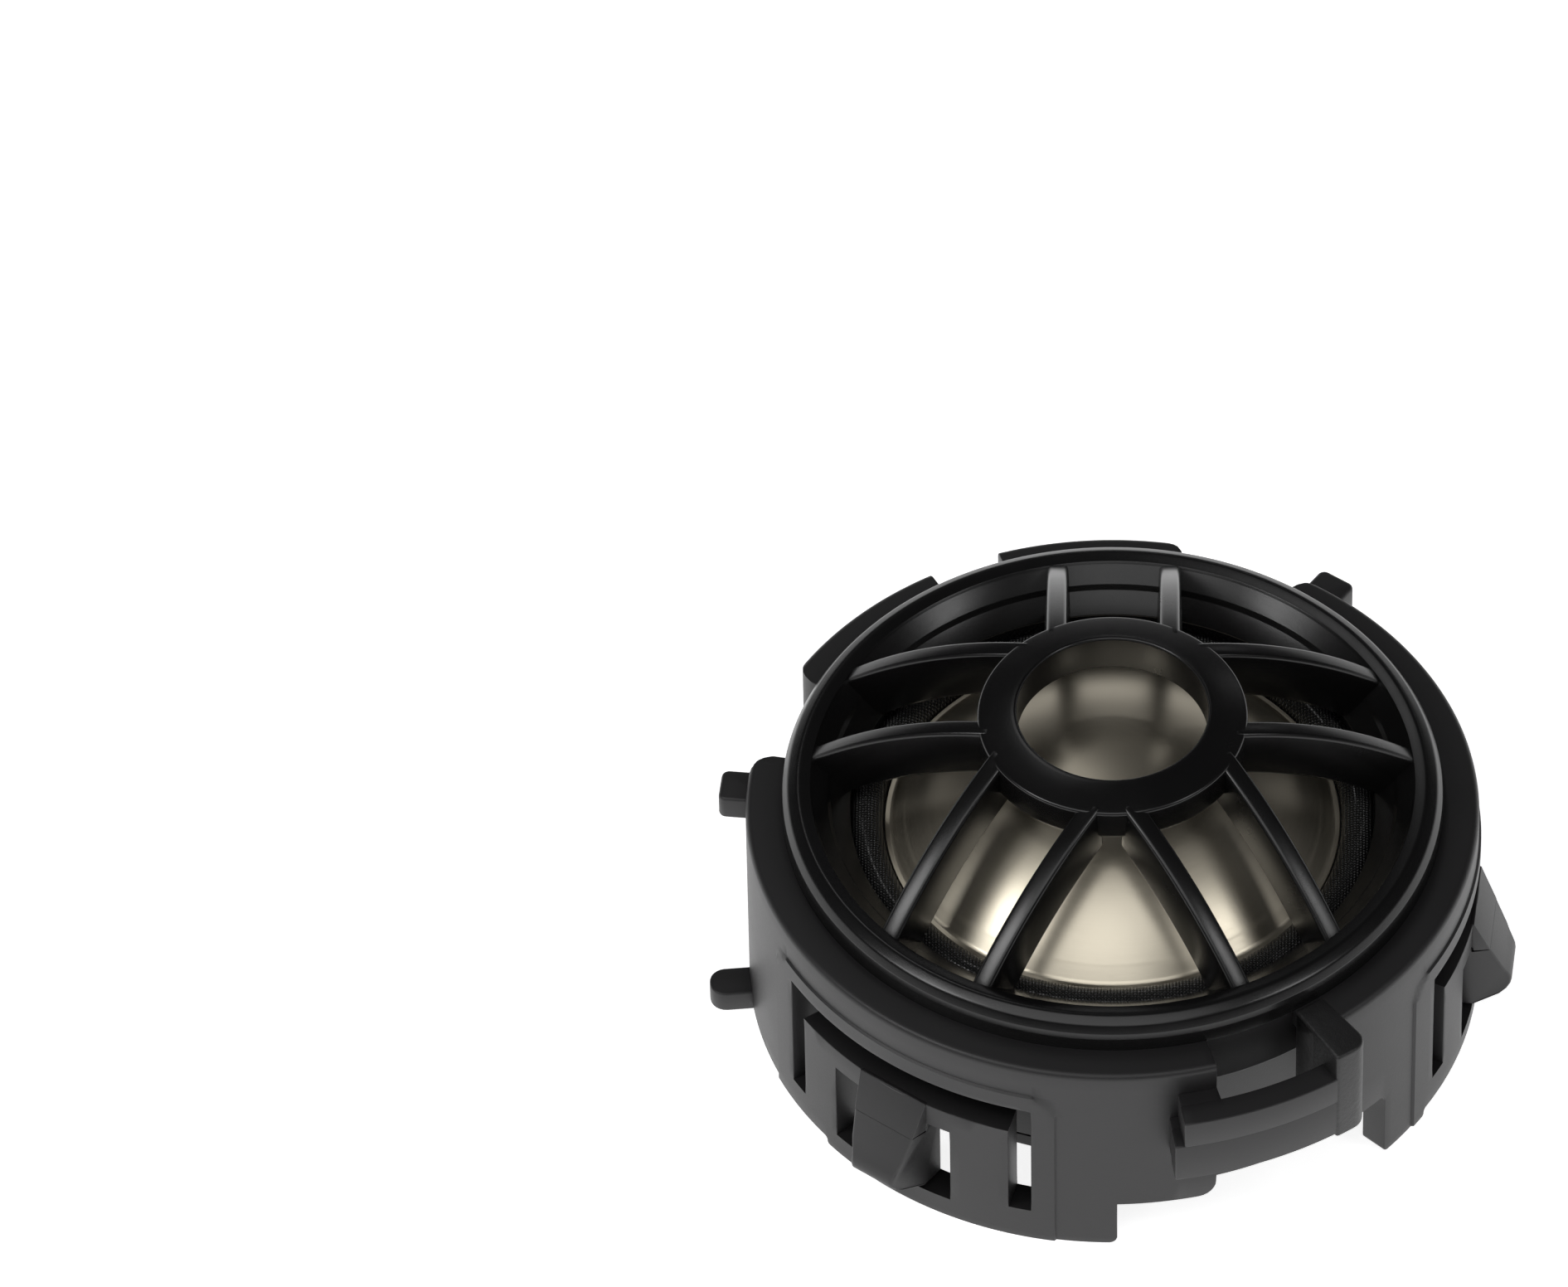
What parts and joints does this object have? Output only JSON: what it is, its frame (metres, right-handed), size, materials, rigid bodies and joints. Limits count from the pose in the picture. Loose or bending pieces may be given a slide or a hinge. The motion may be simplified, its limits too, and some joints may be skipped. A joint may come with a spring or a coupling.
{
  "type": "car tweeter",
  "caption": "Round dome tweeter in a snap-in housing, with a domed grille of paired ribs, three spring hooks in the skirt and a latch strap.",
  "frame": {"origin": "centre of the grille's lip, on the driver's axis, in the plane of the front flange's face", "axes": "+Z along the driver's axis, out of the front; +Y from the centre to the middle of the rib pair opposite the latch strap; +X to the right seen from the front"},
  "size_m": [0.0475, 0.0467, 0.0226],
  "materials": {
    "housing_plastic": "matte, fine grain",
    "bezel_plastic": "satin gloss",
    "frame_plastic": "satin",
    "anodised_dome": "satin anodised",
    "woven_fabric": "glossy weave",
    "aluminium_foil": "satin",
    "copper_wire": "enamelled",
    "foam": "matte",
    "felt": "matte",
    "plated_steel": "zinc plated",
    "nickel_magnet": "nickel plated",
    "phenolic_board": "satin",
    "tinned_brass": "tinned",
    "brass": "polished",
    "solder": "bright",
    "capacitor_film": "gloss"
  },
  "bodies": {
    "shell": {"housing": "housing_plastic", "bezel_grille": "bezel_plastic", "driver_frame": "frame_plastic", "face_gasket": "foam", "pole_plate": "plated_steel", "magnet": "nickel_magnet", "yoke_cup": "plated_steel", "damping_foam": "foam", "rear_felt": "felt", "rear_cover": "housing_plastic", "terminal_board": "phenolic_board", "terminal_plus": "tinned_brass", "terminal_minus": "tinned_brass", "rivets": "brass", "solder_joints": "solder", "lead_wire_plus": "copper_wire", "lead_wire_minus": "copper_wire", "capacitor": "capacitor_film", "capacitor_leads": "tinned_brass"},
    "diaphragm": {"dome": "anodised_dome", "surround": "woven_fabric", "coil_former": "aluminium_foil", "coil_winding": "copper_wire", "coil_leads": "copper_wire"},
    "clip_a": {"clip_hook_a": "housing_plastic"},
    "clip_b": {"clip_hook_b": "housing_plastic"},
    "clip_c": {"clip_hook_c": "housing_plastic"}
  },
  "joints": [
    {"name": "dome_stroke", "type": "slide", "parent": "shell", "child": "diaphragm", "axis": [0, 0, 1], "range_m": [-0.0004, 0.0004], "stiffness_N_per_m": 4000, "deforming": ["surround"]},
    {"name": "clip_a_flex", "type": "hinge", "parent": "shell", "child": "clip_a", "pos_m": [-0.01214, -0.01671, -0.0078], "axis": [0.809, -0.5878, 0], "range_deg": [0, 14], "stiffness_Nm_per_rad": 0.06},
    {"name": "clip_b_flex", "type": "hinge", "parent": "shell", "child": "clip_b", "pos_m": [-0.0084, 0.01886, -0.0078], "axis": [-0.9135, -0.4067, 0], "range_deg": [0, 14], "stiffness_Nm_per_rad": 0.06},
    {"name": "clip_c_flex", "type": "hinge", "parent": "shell", "child": "clip_c", "pos_m": [0.02054, -0.00216, -0.0078], "axis": [0.1045, 0.9945, 0], "range_deg": [0, 14], "stiffness_Nm_per_rad": 0.06}
  ]
}
